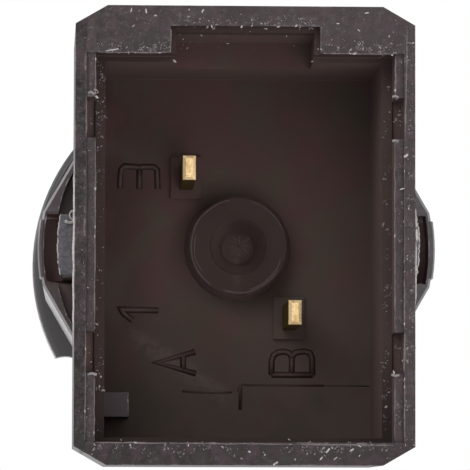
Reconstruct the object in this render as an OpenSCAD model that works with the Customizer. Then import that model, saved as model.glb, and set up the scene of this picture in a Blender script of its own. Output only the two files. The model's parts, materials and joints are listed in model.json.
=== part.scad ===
// Brake light switch: a rectangular plug socket on a hexagonal casing with a round mounting
// flange, a bayonet barrel and a plunger rod that adjusts itself in a sprung contact carrier.
// The local axis z runs from the plunger (minus) to the mouth of the socket (plus), y is up,
// x is to the right for someone who looks into the socket, and z = 0 is the face of the flange
// that seats on the pedal bracket.

/* [Connector shroud] */
// Width of the shroud outside, at its rim
shroud_w = 20.15; // [20:0.05:22]
// Height of the shroud outside, at its rim
shroud_h = 27.2; // [26.6:0.1:30]
// Length of the shroud from the casing to its rim
shroud_l = 13.5; // [12.5:0.1:18]
// Width of the bevel across each shroud corner
corner_w = 1.9; // [1.2:0.1:2.4]
// Height of the bevel across each shroud corner
corner_h = 1.1; // [0.8:0.1:1.2]
// Mould draft of each outer side over the shroud's length
shroud_draft = 0.14; // [0.02:0.02:0.2]
// Thickness of the side walls at the rim
wall_t = 0.66; // [0.6:0.02:0.8]
// Thickness of the guide ribs on the side walls
rib_t = 0.54; // [0.35:0.01:0.6]
// How far the guide ribs end below the rim
rib_drop = 0.2; // [0.1:0.05:0.6]
// Thickness of the top wall beside the latch channel
top_t = 2.8; // [2.5:0.1:3.2]
// Thickness of the bottom wall
bottom_t = 1.35; // [1.2:0.05:1.6]
// How much thicker the side walls are below the mouth
lining_side_t = 0.6; // [0.3:0.05:0.8]
// How much thicker the top and bottom walls are below the mouth
lining_end_t = 0.3; // [0.1:0.05:0.5]
// Depth of the mouth down to the thicker walls
lining_drop = 2.5; // [1.5:0.1:4]

/* [Socket] */
// Height of the socket floor above the end of the casing
floor_rise = 1.0; // [0.6:0.1:1.5]
// Thickness of the socket floor
floor_t = 2.0; // [1.6:0.1:2.4]
// Width of the latch channel in the top wall
channel_w = 8.87; // [7:0.01:10]
// Thickness of the top wall over the latch channel
channel_roof_t = 1.2; // [0.9:0.05:1.4]
// Depth of the latch channel from the rim
channel_depth = 6.2; // [5.5:0.1:8]
// How much narrower the latch channel is below its lip
channel_lip = 0.3; // [0.15:0.05:0.4]
// Depth of the latch channel's lip
channel_lip_depth = 0.8; // [0.5:0.1:1.5]
// Height of each notch in the guide ribs
notch_h = 2.45; // [1.5:0.05:3]
// Height of the notch centres above and below the axis
notch_y = 6.95; // [6:0.05:7.5]
// How far the notches reach below the front edge of the thicker walls
notch_past = 0.2; // [0.05:0.05:3]
// Radius of the centre boss at the floor
boss_foot_r = 3.3; // [3.15:0.05:3.8]
// Radius of the centre boss at its top
boss_top_r = 3.0; // [2.6:0.05:3.1]
// Radius of the recess in the centre boss at its mouth
boss_recess_r = 1.8; // [1.3:0.05:2.2]
// Radius of the recess at its bottom
boss_recess_foot_r = 1.0; // [0.6:0.05:1.2]
// Height of the centre boss
boss_h = 1.6; // [1.5:0.1:2.4]
// Depth of the recess in the centre boss
boss_recess_d = 1.3; // [0.6:0.1:1.4]
// Width of the key block in the lower left corner
key_w = 1.5; // [1:0.1:2]
// Height of the key block
key_h = 1.45; // [1:0.05:2]
// Height of the key block's lower side above the bottom wall
key_y = 1.3; // [0.8:0.1:2]
// How far the key block ends below the rim
key_drop = 5; // [3:0.5:8]
// Height of the shelf along the bottom of the socket floor
shelf_h = 0.2; // [0.1:0.05:0.4]
// Width of the shelf above the bottom wall
shelf_w = 3.4; // [2.5:0.1:3.8]
// How much narrower the shelf is to the left of its groove
shelf_step = 0.4; // [0.2:0.05:0.6]

/* [Terminals] */
// Thickness of the terminal strip
blade_t = 0.8; // [0.6:0.05:0.9]
// Width of the terminal strip
blade_w = 1.5; // [1.2:0.05:1.7]
// Distance of each blade from the middle, sideways
blade_x = 3.2; // [3.1:0.05:3.4]
// Distance of each blade from the middle, up or down
blade_y = 4.35; // [4.3:0.05:4.6]
// Length of the blade above the socket floor
blade_l = 8.0; // [7:0.1:9]
// Width of the bevels round the blade's tip
blade_bevel = 0.2; // [0.1:0.05:0.3]
// Distance of the inner legs from the middle, sideways
leg_x = 6.3; // [6.2:0.05:6.4]
// Distance of the contacts from the middle, sideways
contact_x = 4.3; // [4.2:0.05:4.4]
// Radius of a contact rivet's head
contact_r = 1.1; // [0.9:0.05:1.15]
// Height of a contact rivet's head
contact_t = 0.6; // [0.4:0.05:0.8]

/* [Casing] */
// Size of the hexagonal casing across its flats
hex_flats = 23.25; // [23:0.05:24]
// How much is cut off each corner of the hexagon, which leaves it round there
corner_cut = 1.12; // [0.8:0.02:1.2]
// Distance from the flange's seat to the end of the hexagon
hex_end = 21.5; // [20:0.1:24]
// Chamfer round the end of the hexagon
hex_chamfer = 0.15; // [0.1:0.05:0.5]
// Least thickness of the hexagon's wall round the moat at its end
hex_wall = 0.4; // [0.3:0.05:0.9]
// Outer radius of the moat at the end of the hexagon
moat_r = 11.35; // [11.2:0.05:11.6]
// Depth of the moat
moat_depth = 1.5; // [1:0.1:4]
// Radius of the round chamber in the hexagon
chamber_r = 9.3; // [9.2:0.05:9.5]
// Thickness of the wall between the chamber and the moat
ring_wall = 0.7; // [0.5:0.05:0.8]
// Radius of the flange
flange_r = 13.0; // [12.8:0.1:13.5]
// Thickness of the flange
flange_t = 2.0; // [1.4:0.1:2.6]
// Radius of the index notch in the flange
index_r = 1.8; // [1.2:0.1:2.2]
// Depth of the index notch from the flange's edge
index_depth = 1.5; // [0.8:0.1:1.6]
// Height of the chamber's floor above the flange
chamber_rise = 1.0; // [0.6:0.1:1.2]
// Rounding of the flange's edges
flange_round = 0.4; // [0.2:0.05:0.6]

/* [Snap fit] */
// How far the strap over each latch tongue stands proud of the hexagon's cut corner
strap_proud = 0.12; // [0.1:0.01:0.3]
// Thickness of the strap
strap_t = 0.4; // [0.3:0.01:0.45]
// Length of the strap along the axis
strap_l = 2.5; // [2:0.1:3]
// Width of the strap where it stands proud
strap_w = 3.6; // [3:0.1:4]
// Width of the window under the strap
window_w = 4.3; // [4.2:0.1:5]
// Gap between the tongue's outer face and the strap
tongue_inset = 1.0; // [0.6:0.05:1.1]
// Gap on each side of the tongue in its window
tongue_gap = 0.25; // [0.2:0.05:0.5]
// How far the tongue's root runs up the shroud above the end of the hexagon
tongue_rise = 3.5; // [1:0.1:6]
// Clearance between the tongue's hook and the strap
hook_gap = 0.1; // [0.05:0.05:0.3]
// How far the hook reaches past the strap's inner face
hook_bite = 0.15; // [0.1:0.05:0.25]
// Length of the slope that leads the hook in
hook_slope = 0.8; // [0.4:0.1:1.1]

/* [Barrel] */
// Radius of the barrel where the bracket holds it
barrel_r = 8.0; // [7.9:0.05:8.4]
// Radius of the barrel below its lugs
pilot_r = 7.8; // [7.5:0.05:7.85]
// Length of the barrel below the flange
barrel_l = 14.5; // [13:0.1:18]
// Radius of the barrel's bore
bore_r = 6.6; // [6.3:0.05:6.8]
// Thickness of the barrel's end wall
nose_t = 2.0; // [1.5:0.1:2.5]
// Chamfer at the end of the barrel
nose_chamfer = 0.8; // [0.4:0.1:1]
// Gap between the flange and the lugs, for the bracket sheet
bracket_gap = 2.6; // [2:0.1:3.2]
// Radius across the bayonet lugs
lug_r = 10.4; // [9.6:0.1:11]
// Thickness of the bayonet lugs
lug_t = 2.4; // [1.8:0.1:3]
// Width of the bayonet lugs
lug_w = 6; // [4:0.1:7]
// Slope of the lead-in at one end of each lug
lug_slope = 25; // [10:1:35]

/* [Plunger] */
// Radius of the plunger rod
rod_r = 2.6; // [2.4:0.05:2.7]
// Length of the plunger rod
rod_l = 25; // [23:0.5:25]
// How far the rod stands out of the barrel
rod_out = 13.5; // [12.5:0.1:14]
// Radius of the rounded edge of the rod's tip
tip_round = 1.4; // [0.5:0.1:2]
// Travel of the plunger against its return spring
travel = 5; // [3:0.1:5.5]
// Pitch of the rod's teeth
tooth_pitch = 1.0; // [0.8:0.1:1.5]
// Depth of the rod's teeth
tooth_depth = 0.35; // [0.2:0.05:0.5]
// Radial clearance of each sliding fit
slide_gap = 0.06; // [0.03:0.01:0.09]

/* [Contact mechanism] */
// Thickness of the contact bridge
bridge_t = 0.6; // [0.4:0.05:0.8]
// Width of the contact bridge
bridge_w = 2.6; // [2.3:0.1:2.8]
// Travel of the plunger before it lifts the bridge
lost_motion = 1.0; // [0.6:0.1:1.2]
// Length of the contact spring at rest
contact_spring_l = 3.5; // [3:0.1:4]
// Wire radius of the contact spring
contact_wire_r = 0.16; // [0.12:0.01:0.2]
// Mean radius of the contact spring's coils
contact_coil_r = 1.0; // [0.8:0.05:1.1]
// Number of turns of the contact spring
contact_turns = 6; // [4:1:8]
// Wire radius of the return spring
return_wire_r = 0.3; // [0.25:0.01:0.35]
// Number of turns of the return spring
return_turns = 6; // [4:1:8]
// Clearance of the return spring round its stubs
spring_fit = 0.15; // [0.05:0.05:0.3]
// Radius of the stubs that centre the return spring
stub_r = 3.1; // [2.9:0.05:3.2]
// Length of the stub under the socket floor
housing_stub_l = 2.0; // [1:0.1:2.2]
// Length of the stub on the carrier
carrier_stub_l = 1.2; // [0.8:0.1:1.4]
// Radius of the carrier above its guide
carrier_r = 4.4; // [4.2:0.05:4.45]
// Length of the carrier's guide in the barrel
guide_l = 7.5; // [6:0.1:8]
// Thickness of the carrier's plate under the return spring
seat_t = 1.5; // [1:0.1:2]
// Clearance between the bridge and each side of its window
window_gap = 0.2; // [0.1:0.05:0.3]
// Outer radius of the lock clip
clip_r = 4.6; // [4.2:0.1:5]
// Thickness of the lock clip
clip_t = 0.6; // [0.4:0.1:0.8]
// Clearance of the open lock clip round the rod's teeth
clip_gap = 0.1; // [0.05:0.05:0.2]
// Width of the slit in the lock clip
clip_slit = 1.0; // [0.6:0.1:1.5]

/* [Hidden] */
$fn = 96;
eps = 0.01;
over = 1;
small_gap = 0.05;

// Drop of the terminals' jog below the socket floor, and play of the lock clip in its recess
jog_drop = 1.5;
clip_play = 0.3;

// Levels along the axis, from the mouth down
rim_z = hex_end + shroud_l;
floor_z = hex_end + floor_rise;
ceiling_z = floor_z - floor_t;
lining_z = rim_z - lining_drop;
blade_tip_z = floor_z + blade_l;
jog_z = ceiling_z - jog_drop;

// Levels of the contacts and the carrier, from the chamber's floor up
chamber_z = flange_t + chamber_rise;
fixed_top_z = chamber_z + blade_t;
contact_z = fixed_top_z + contact_t;
bridge_z = contact_z + contact_t;
ledge_z = bridge_z - lost_motion - small_gap;
window_top_z = bridge_z + bridge_t + contact_spring_l;
carrier_top_z = window_top_z + seat_t;
nose_in_z = nose_t - barrel_l;
lug_z = -bracket_gap - lug_t;

// Half widths and levels of the socket, from the axis
mouth_x = shroud_w / 2 - wall_t - rib_t;
mouth_top = shroud_h / 2 - top_t;
mouth_bottom = bottom_t - shroud_h / 2;
socket_x = mouth_x - lining_side_t;
socket_top = mouth_top - lining_end_t;
socket_bottom = mouth_bottom + lining_end_t;
channel_top = shroud_h / 2 - channel_roof_t;

// Spigot of the housing in the casing's chamber
spigot_gap = 0.1;
spigot_t = 0.5;
spigot_l = 3;
spigot_r = chamber_r - spigot_gap;

// Corners of the hexagon before and after their cut, and the strap over each tongue
vertex_r = hex_flats / 2 / cos(30);
hex_corner_r = vertex_r - corner_cut;
strap_r = hex_corner_r + strap_proud;
strap_in_r = strap_r - strap_t;
tongue_r = strap_in_r - tongue_inset;

// Window in the casing's wall, under the strap
window_top = hex_end - strap_l;
window_h = 2.2;
tongue_l = strap_l + window_h;

// Direction and distance of a contact from the axis
bridge_angle = atan2(blade_y, -contact_x);
bridge_reach = norm([contact_x, blade_y]);

// Turns the local axis into the direction away from the viewer
module place() {
    rotate([90, 0, 0])
        children();
}

// A box given by its lowest and highest corners
module box(lo, hi) {
    translate(lo)
        cube(hi - lo);
}

// The same shape and its twin, half a turn round the axis
module twice() {
    for (turn = [0, 180])
        rotate([0, 0, turn])
            children();
}

// Outline of the shroud with its four bevelled corners
module shroud_outline() {
    w = shroud_w / 2;
    h = shroud_h / 2;
    polygon([
        [w, corner_h - h], [w, h - corner_h], [w - corner_w, h], [corner_w - w, h],
        [-w, h - corner_h], [-w, corner_h - h], [corner_w - w, -h], [w - corner_w, -h]
    ]);
}

// Outer block of the shroud, a little wider at its foot than at its rim
module shroud_block() {
    draft = (shroud_w + 2 * shroud_draft) / shroud_w;
    translate([0, 0, rim_z])
        mirror([0, 0, 1])
            linear_extrude(shroud_l, scale = [draft, 1], slices = 1, $fn = 0)
                shroud_outline();
}

// Channel for the plug's latch in the top wall, with a narrower part below its lip
module latch_channel(top) {
    half = channel_w / 2;
    lip_z = rim_z - channel_lip_depth;
    low = rim_z - channel_depth;
    box([-half, 0, lip_z], [half, channel_top, top]);
    box([channel_lip - half, 0, low], [half - channel_lip, channel_top - channel_lip, lip_z + eps]);
}

// Notches through the guide ribs, two on each side
module rib_notches(top) {
    low = lining_z - notch_past;
    for (side = [-1, 1])
        for (level = [-1, 1])
            translate([side * (mouth_x + rib_t / 2), level * notch_y, (low + top) / 2])
                cube([rib_t, notch_h, top - low], center = true);
}

// Hollow of the socket: mouth, narrower lower part, rib notches and latch channel
module socket_hollow() {
    top = rim_z + over;
    step_x = mouth_x + rib_t;
    box([-socket_x, socket_bottom, floor_z], [socket_x, socket_top, top]);
    box([-mouth_x, mouth_bottom, lining_z], [mouth_x, mouth_top, top]);
    box([-step_x, mouth_bottom, rim_z - rib_drop], [step_x, mouth_top, top]);
    latch_channel(top);
    rib_notches(top);
}

// Raised boss in the middle of the socket floor
module centre_boss() {
    translate([0, 0, floor_z - eps])
        difference() {
            cylinder(h = boss_h + eps, r1 = boss_foot_r, r2 = boss_top_r);
            translate([0, 0, boss_h + eps - boss_recess_d])
                cylinder(h = boss_recess_d + eps, r1 = boss_recess_foot_r, r2 = boss_recess_r);
        }
}

// Shelf along the bottom of the socket floor, in two widths with a short groove between them
module floor_shelf() {
    groove_x = 0.1;
    groove_w = 0.25;
    groove_l = 1.5;
    right_top = socket_bottom + shelf_w;
    left_top = right_top - shelf_step;
    low = floor_z - eps;
    high = floor_z + shelf_h;
    box([groove_x + groove_w, socket_bottom - eps, low], [socket_x + eps, right_top, high]);
    box([-socket_x - eps, socket_bottom - eps, low], [groove_x, left_top, high]);
    box([-socket_x - eps, socket_bottom - eps, low], [socket_x, right_top - groove_l, high]);
}

// Block in the lower left corner that keys the plug
module key_block() {
    x = -socket_x;
    y = socket_bottom + key_y;
    box([x - eps, y, floor_z - eps], [x + key_w, y + key_h, rim_z - key_drop]);
}

// Low pad round the foot of one blade
module blade_pad(x, y) {
    margin = 0.55;
    pad_h = 0.3;
    translate([x - blade_t / 2 - margin, y - blade_w / 2 - margin, floor_z - eps])
        cube([blade_t + 2 * margin, blade_w + 2 * margin, pad_h + eps]);
}

// Slot through which one blade passes the floor
module blade_slot(x, y) {
    translate([x, y, floor_z])
        cube([blade_t, blade_w, 2 * shroud_l], center = true);
}

// Tongue of the housing that snaps under the casing's strap, with fine upright serrations;
// it grows out of the shroud's side wall
module latch_tongue() {
    half = window_w / 2 - tongue_gap;
    top = hex_end + tongue_rise;
    root_r = spigot_r - spigot_t / 2;
    wall_r = (socket_x + shroud_w / 2) / 2;
    hook_r = strap_in_r + hook_bite;
    hook_top = window_top - hook_gap;
    serrations = 7;
    serration_r = 0.12;
    serration_in = 0.04;
    serration_turn = 2.6;
    intersection() {
        rotate_extrude()
            polygon([
                [root_r, hex_end - tongue_l], [tongue_r, hex_end - tongue_l],
                [hook_r, hook_top - hook_slope], [hook_r, hook_top],
                [tongue_r, hook_top], [tongue_r, top], [wall_r, top],
                [wall_r, hex_end + eps], [root_r, hex_end + eps]
            ]);
        box([0, -half, 0], [strap_r, half, rim_z]);
    }
    for (i = [1:serrations])
        rotate([0, 0, (i - (serrations + 1) / 2) * serration_turn])
            translate([tongue_r - serration_in, 0, hook_top - eps])
                cylinder(h = top - hook_top + eps, r = serration_r, $fn = 8);
}

// Round spigot that centres the housing in the casing's chamber
module spigot() {
    difference() {
        translate([0, 0, hex_end - spigot_l])
            cylinder(h = spigot_l + eps, r = spigot_r);
        translate([0, 0, ceiling_z - 2 * spigot_l])
            cylinder(h = 2 * spigot_l, r = spigot_r - spigot_t);
    }
}

module connector_housing() {
    color([0.28, 0.26, 0.27])
        place()
            difference() {
                union() {
                    difference() {
                        shroud_block();
                        socket_hollow();
                    }
                    centre_boss();
                    floor_shelf();
                    key_block();
                    blade_pad(-blade_x, blade_y);
                    blade_pad(blade_x, -blade_y);
                    spigot();
                    translate([0, 0, ceiling_z - housing_stub_l])
                        cylinder(h = housing_stub_l + eps, r = stub_r);
                    twice()
                        latch_tongue();
                }
                blade_slot(-blade_x, blade_y);
                blade_slot(blade_x, -blade_y);
            }
}

// Hexagonal body with cut corners and a chamfered end
module hex_body() {
    base = flange_t - eps;
    shoulder = hex_end - hex_chamfer;
    taper = 1 - 2 * hex_chamfer / hex_flats;
    intersection() {
        union() {
            translate([0, 0, base])
                linear_extrude(shoulder - base)
                    circle(r = vertex_r, $fn = 6);
            translate([0, 0, shoulder - eps])
                linear_extrude(hex_chamfer + eps, scale = taper, slices = 1, $fn = 0)
                    circle(r = vertex_r, $fn = 6);
        }
        rotate_extrude()
            polygon([
                [0, base], [hex_corner_r, base], [hex_corner_r, shoulder],
                [hex_corner_r - hex_chamfer, hex_end], [0, hex_end]
            ]);
    }
}

// Moat round the chamber's wall at the end of the hexagon, with the room for each tongue
module moat() {
    half = window_w / 2;
    low = hex_end - tongue_l - hook_gap;
    corner_r = (hex_flats / 2 - hex_wall) / cos(30);
    translate([0, 0, hex_end - moat_depth])
        difference() {
            intersection() {
                linear_extrude(moat_depth + over)
                    circle(r = corner_r, $fn = 6);
                cylinder(h = moat_depth + over, r = moat_r);
            }
            translate([0, 0, -over])
                cylinder(h = moat_depth + 3 * over, r = chamber_r + ring_wall);
        }
    twice() {
        intersection() {
            translate([0, 0, low])
                cylinder(h = tongue_l + over, r = strap_in_r);
            box([chamber_r - over, -half, 0], [strap_r, half, rim_z]);
        }
        box([tongue_r, -half, low], [strap_r + over, half, window_top]);
    }
}

// Block that the moat turns into the strap over one tongue, proud of the hexagon's cut corner
module strap_block() {
    edge = 0.1;
    intersection() {
        rotate_extrude()
            polygon([
                [chamber_r, window_top], [strap_r, window_top], [strap_r, hex_end - edge],
                [strap_r - edge, hex_end], [chamber_r, hex_end]
            ]);
        box([tongue_r, -strap_w / 2, 0], [strap_r + over, strap_w / 2, rim_z]);
    }
}

// Barrel and flange, turned about the axis
module barrel_and_flange() {
    step = 0.3;
    r = flange_round;
    rotate_extrude()
        polygon(concat(
            [
                [rod_r, -barrel_l], [pilot_r - nose_chamfer, -barrel_l], [pilot_r, nose_chamfer - barrel_l],
                [pilot_r, lug_z - step], [barrel_r, lug_z], [barrel_r, 0]
            ],
            [for (a = [0:22.5:90]) [flange_r - r + r * sin(a), r - r * cos(a)]],
            [for (a = [0:22.5:90]) [flange_r - r + r * cos(a), flange_t - r + r * sin(a)]],
            [[rod_r, flange_t]]
        ));
}

// One lug of the bayonet, with a sloping lead-in over a third of its width
module bayonet_lug() {
    root_r = (bore_r + barrel_r) / 2;
    difference() {
        intersection() {
            translate([0, 0, lug_z])
                cylinder(h = lug_t, r = lug_r);
            box([root_r, -lug_w / 2, -barrel_l], [lug_r + over, lug_w / 2, 0]);
        }
        translate([barrel_r, -lug_w / 6, -bracket_gap])
            rotate([lug_slope, 0, 0])
                translate([0, -lug_w, 0])
                    cube([lug_r, lug_w, lug_t]);
    }
}

// Small nib on the flange's seat that snaps into the bracket when the switch is turned home
module seat_nib() {
    nib_r = 0.9;
    nib_h = 0.35;
    rotate([0, 0, 60])
        translate([(lug_r + flange_r) / 2, 0, -nib_h])
            cylinder(h = nib_h + eps, r1 = nib_r - nib_h, r2 = nib_r);
}

// Notch in the flange's edge, below and to the left of the axis
module index_notch() {
    index_angle = 216;
    rotate([0, 0, index_angle])
        translate([flange_r - index_depth + index_r, 0, -over])
            cylinder(h = flange_t + over, r = index_r);
}

module switch_casing() {
    color([0.34, 0.33, 0.34])
        place() {
            difference() {
                union() {
                    hex_body();
                    barrel_and_flange();
                    twice() {
                        bayonet_lug();
                        seat_nib();
                        strap_block();
                    }
                }
                translate([0, 0, chamber_z])
                    cylinder(h = hex_end, r = chamber_r);
                translate([0, 0, nose_in_z])
                    cylinder(h = barrel_l + flange_t, r = bore_r);
                translate([0, 0, -barrel_l - over])
                    cylinder(h = nose_t + 2 * over, r = rod_r + slide_gap);
                moat();
                index_notch();
            }
        }
}

// Terminal strip: blade, jog under the socket floor, leg beside the chamber's wall and contact arm
module terminal() {
    t = blade_t / 2;
    w = blade_w / 2;
    b = blade_bevel;
    tip = blade_tip_z;
    arm_margin = 0.1;
    arm_end = contact_x - contact_r - arm_margin;
    intersection() {
        rotate([90, 0, 0])
            translate([0, 0, -w])
                linear_extrude(blade_w)
                    polygon([
                        [t - blade_x, jog_z], [t - blade_x, tip - b], [t - blade_x - b, tip],
                        [b - t - blade_x, tip], [-t - blade_x, tip - b], [-t - blade_x, jog_z + blade_t],
                        [-t - leg_x, jog_z + blade_t], [-t - leg_x, chamber_z], [-arm_end, chamber_z],
                        [-arm_end, fixed_top_z], [t - leg_x, fixed_top_z], [t - leg_x, jog_z]
                    ]);
        rotate([90, 0, 90])
            translate([0, 0, -leg_x - over])
                linear_extrude(leg_x + over)
                    polygon([[-w, 0], [w, 0], [w, tip - b], [w - b, tip], [b - w, tip], [-w, tip - b]]);
    }
}

module terminal_a3() {
    color([0.85, 0.72, 0.42])
        place()
            translate([0, blade_y, 0])
                terminal();
}

module terminal_b1() {
    color([0.85, 0.72, 0.42])
        place()
            rotate([0, 0, 180])
                translate([0, blade_y, 0])
                    terminal();
}

// Head of one contact rivet, standing on z = 0
module contact_head() {
    edge = 0.2;
    rotate_extrude()
        polygon([
            [0, 0], [contact_r, 0], [contact_r, contact_t - edge], [contact_r - edge, contact_t],
            [0, contact_t]
        ]);
}

// Contact on the arm of a terminal: side is 1 for the upper left one and -1 for its opposite
module fixed_contact(side) {
    color([0.83, 0.83, 0.8])
        place()
            translate([-side * contact_x, side * blade_y, fixed_top_z])
                contact_head();
}

// Contact under one end of the bridge
module bridge_contact(side) {
    color([0.83, 0.83, 0.8])
        place()
            translate([-side * contact_x, side * blade_y, bridge_z])
                mirror([0, 0, 1])
                    contact_head();
}

module fixed_contact_a3() {
    fixed_contact(1);
}

module fixed_contact_b1() {
    fixed_contact(-1);
}

module bridge_contact_a3() {
    bridge_contact(1);
}

module bridge_contact_b1() {
    bridge_contact(-1);
}

module contact_bridge() {
    color([0.8, 0.5, 0.32])
        place()
            translate([0, 0, bridge_z])
                rotate([0, 0, bridge_angle])
                    linear_extrude(bridge_t) {
                        square([2 * bridge_reach, bridge_w], center = true);
                        for (side = [-1, 1])
                            translate([side * bridge_reach, 0])
                                circle(r = bridge_w / 2);
                    }
}

module contact_carrier() {
    bore_end_wall = 0.9;
    bore_end = ledge_z - bore_end_wall;
    clip_room = clip_t + clip_play;
    window_y = bridge_w + 2 * window_gap;
    vent_w = 1.6;
    vent_d = 0.8;
    color([0.9, 0.89, 0.84])
        place()
            difference() {
                union() {
                    translate([0, 0, nose_in_z])
                        cylinder(h = guide_l, r = bore_r - slide_gap);
                    translate([0, 0, nose_in_z])
                        cylinder(h = carrier_top_z - nose_in_z, r = carrier_r);
                    translate([0, 0, carrier_top_z - eps])
                        cylinder(h = carrier_stub_l + eps, r = stub_r);
                }
                translate([0, 0, nose_in_z - over])
                    cylinder(h = bore_end - nose_in_z + over, r = rod_r + slide_gap);
                translate([0, 0, nose_in_z - over])
                    cylinder(h = clip_room + over, r = clip_r + small_gap);
                // window that the bridge passes through
                rotate([0, 0, bridge_angle])
                    translate([0, 0, (ledge_z + window_top_z) / 2])
                        cube([4 * carrier_r, window_y, window_top_z - ledge_z], center = true);
                // vents along the guide
                for (turn = [0:120:240])
                    rotate([0, 0, turn])
                        translate([bore_r - vent_d, -vent_w / 2, nose_in_z - over])
                            cube([vent_d + over, vent_w, guide_l + 2 * over]);
            }
}

module lock_clip() {
    color([0.75, 0.76, 0.78])
        place()
            translate([0, 0, nose_in_z + clip_play])
                difference() {
                    cylinder(h = clip_t, r = clip_r);
                    translate([0, 0, -over])
                        cylinder(h = clip_t + 2 * over, r = rod_r + clip_gap);
                    translate([0, -clip_slit / 2, -over])
                        cube([clip_r + over, clip_slit, clip_t + 2 * over]);
                }
}

// Plunger rod: rounded tip, plain shank and a toothed stretch inside the carrier
module plunger_rod() {
    low = -barrel_l - rod_out;
    top = low + rod_l;
    r = tip_round;
    root_r = rod_r - tooth_depth;
    end_edge = 0.4;
    teeth_z = nose_in_z + clip_play + clip_t;
    teeth = floor((top - end_edge - teeth_z) / tooth_pitch);
    color([0.9, 0.89, 0.84])
        place()
            rotate_extrude()
                polygon(concat(
                    [[0, low]],
                    [for (a = [0:15:90]) [rod_r - r + r * sin(a), low + r - r * cos(a)]],
                    [
                        for (i = [0:teeth - 1], s = [0, 1])
                            [rod_r - s * tooth_depth, teeth_z + (i + s / 2) * tooth_pitch]
                    ],
                    [[root_r, top - end_edge], [root_r - end_edge, top], [0, top]]
                ));
}

// Height of a spring's wire after n of its turns, with one closed turn at each end
function coil_z(n, turns, length, wire_r) =
    let (closed = 2.1 * wire_r, open = length - 2 * wire_r - 2 * closed)
        wire_r + (n < 1 ? n * closed
            : n > turns - 1 ? closed + open + (n - turns + 1) * closed
            : closed + open * (n - 1) / (turns - 2));

// Round-wire compression spring standing on z = 0
module coil_spring(mean_r, wire_r, length, turns, steps, sides) {
    rings = turns * steps;
    points = [
        for (i = [0:rings], j = [0:sides - 1])
            let (turn = 360 * i / steps, a = 360 * j / sides, r = mean_r + wire_r * cos(a))
                [r * cos(turn), r * sin(turn), coil_z(i / steps, turns, length, wire_r) + wire_r * sin(a)]
    ];
    walls = [
        for (i = [0:rings - 1], j = [0:sides - 1])
            let (k = (j + 1) % sides)
                [i * sides + j, i * sides + k, (i + 1) * sides + k, (i + 1) * sides + j]
    ];
    start = [[for (j = [sides - 1:-1:0]) j]];
    end = [[for (j = [0:sides - 1]) rings * sides + j]];
    polyhedron(points, concat(walls, start, end));
}

module return_spring() {
    color([0.72, 0.73, 0.75])
        place()
            translate([0, 0, carrier_top_z])
                coil_spring(
                    stub_r + spring_fit + return_wire_r, return_wire_r,
                    ceiling_z - carrier_top_z, return_turns, steps = 20, sides = 8
                );
}

module contact_spring() {
    color([0.72, 0.73, 0.75])
        place()
            translate([0, 0, bridge_z + bridge_t])
                coil_spring(
                    contact_coil_r, contact_wire_r, contact_spring_l, contact_turns, steps = 14, sides = 6
                );
}

connector_housing();
switch_casing();
terminal_a3();
terminal_b1();
fixed_contact_a3();
fixed_contact_b1();
contact_bridge();
bridge_contact_a3();
bridge_contact_b1();
contact_carrier();
lock_clip();
contact_spring();
return_spring();
plunger_rod();
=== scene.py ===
"""Looks of the brake light switch: moulded plastic, brass blades, and dust and flash on the CAD part.

The frame is in metres: x to the right, y away from the viewer (mouth of the socket at y = -0.035), z up.
The helpers below take millimetres in the switch's own terms: x, up, and depth, which counts from the
flange's seat towards the mouth, so that depth is -y.
"""

import json
import math
import random

import bmesh
import bpy
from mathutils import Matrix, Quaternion, Vector, noise


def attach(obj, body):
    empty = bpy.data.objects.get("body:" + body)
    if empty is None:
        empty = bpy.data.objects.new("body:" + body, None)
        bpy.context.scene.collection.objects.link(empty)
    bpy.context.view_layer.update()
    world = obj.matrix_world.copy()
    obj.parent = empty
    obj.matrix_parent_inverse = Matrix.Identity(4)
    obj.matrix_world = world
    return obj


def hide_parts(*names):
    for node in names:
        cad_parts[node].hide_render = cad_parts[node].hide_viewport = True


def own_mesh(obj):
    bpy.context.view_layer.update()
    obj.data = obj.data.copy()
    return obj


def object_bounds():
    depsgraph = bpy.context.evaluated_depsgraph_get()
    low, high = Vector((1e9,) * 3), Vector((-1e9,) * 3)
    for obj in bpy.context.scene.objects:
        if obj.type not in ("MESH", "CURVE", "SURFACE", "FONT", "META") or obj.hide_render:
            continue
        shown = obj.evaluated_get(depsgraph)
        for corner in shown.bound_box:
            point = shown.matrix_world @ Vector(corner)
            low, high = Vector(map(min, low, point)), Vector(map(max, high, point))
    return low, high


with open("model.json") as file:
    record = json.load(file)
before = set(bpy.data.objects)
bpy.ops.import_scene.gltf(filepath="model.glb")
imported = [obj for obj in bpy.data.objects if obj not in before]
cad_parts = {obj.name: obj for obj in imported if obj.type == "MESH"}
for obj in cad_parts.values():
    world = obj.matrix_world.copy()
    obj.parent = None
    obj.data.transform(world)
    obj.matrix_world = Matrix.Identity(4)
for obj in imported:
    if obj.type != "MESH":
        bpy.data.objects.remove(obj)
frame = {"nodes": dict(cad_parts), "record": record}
cad_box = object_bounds()
nodes = frame["nodes"]

MM = 0.001

# Depths of the CAD part's faces that the looks follow, in millimetres
RIM = 35.0
RIB_FACE = 34.8
LINING = 32.5
KEY_FACE = 30.0
TONGUE_FACE = 25.0
BOSS_TOP = 24.1
RECESS_FLOOR = 22.8
SHELF = 22.7
FLOOR = 22.5
HEX_END = 21.5

# Its sizes across the axis: the boss and its recess, and the latch tongues beside the shroud
BOSS_R = 3.0
BOSS_FOOT_R = 3.3
RECESS_R = 1.8
SHROUD_SIDE = 10.18
TONGUE_R = 11.02
TONGUE_HALF = 1.9
SERRATION = 0.15

# Camera, worked out from the photograph's parallax; places in millimetres of the frame
CAMERA_AT = (-9.38, -270.0, -15.78)
CAMERA_AIM = (-0.607, -35.0, -0.02)
CAMERA_ROLL = 0.0027
FOCAL_PX = 3990.0
PHOTO_PX = 470.0
SENSOR = 36.0


def point(x, up, depth):
    """A place of the switch, in millimetres, as a vector of the frame."""
    return Vector((x, -depth, up)) * MM


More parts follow.
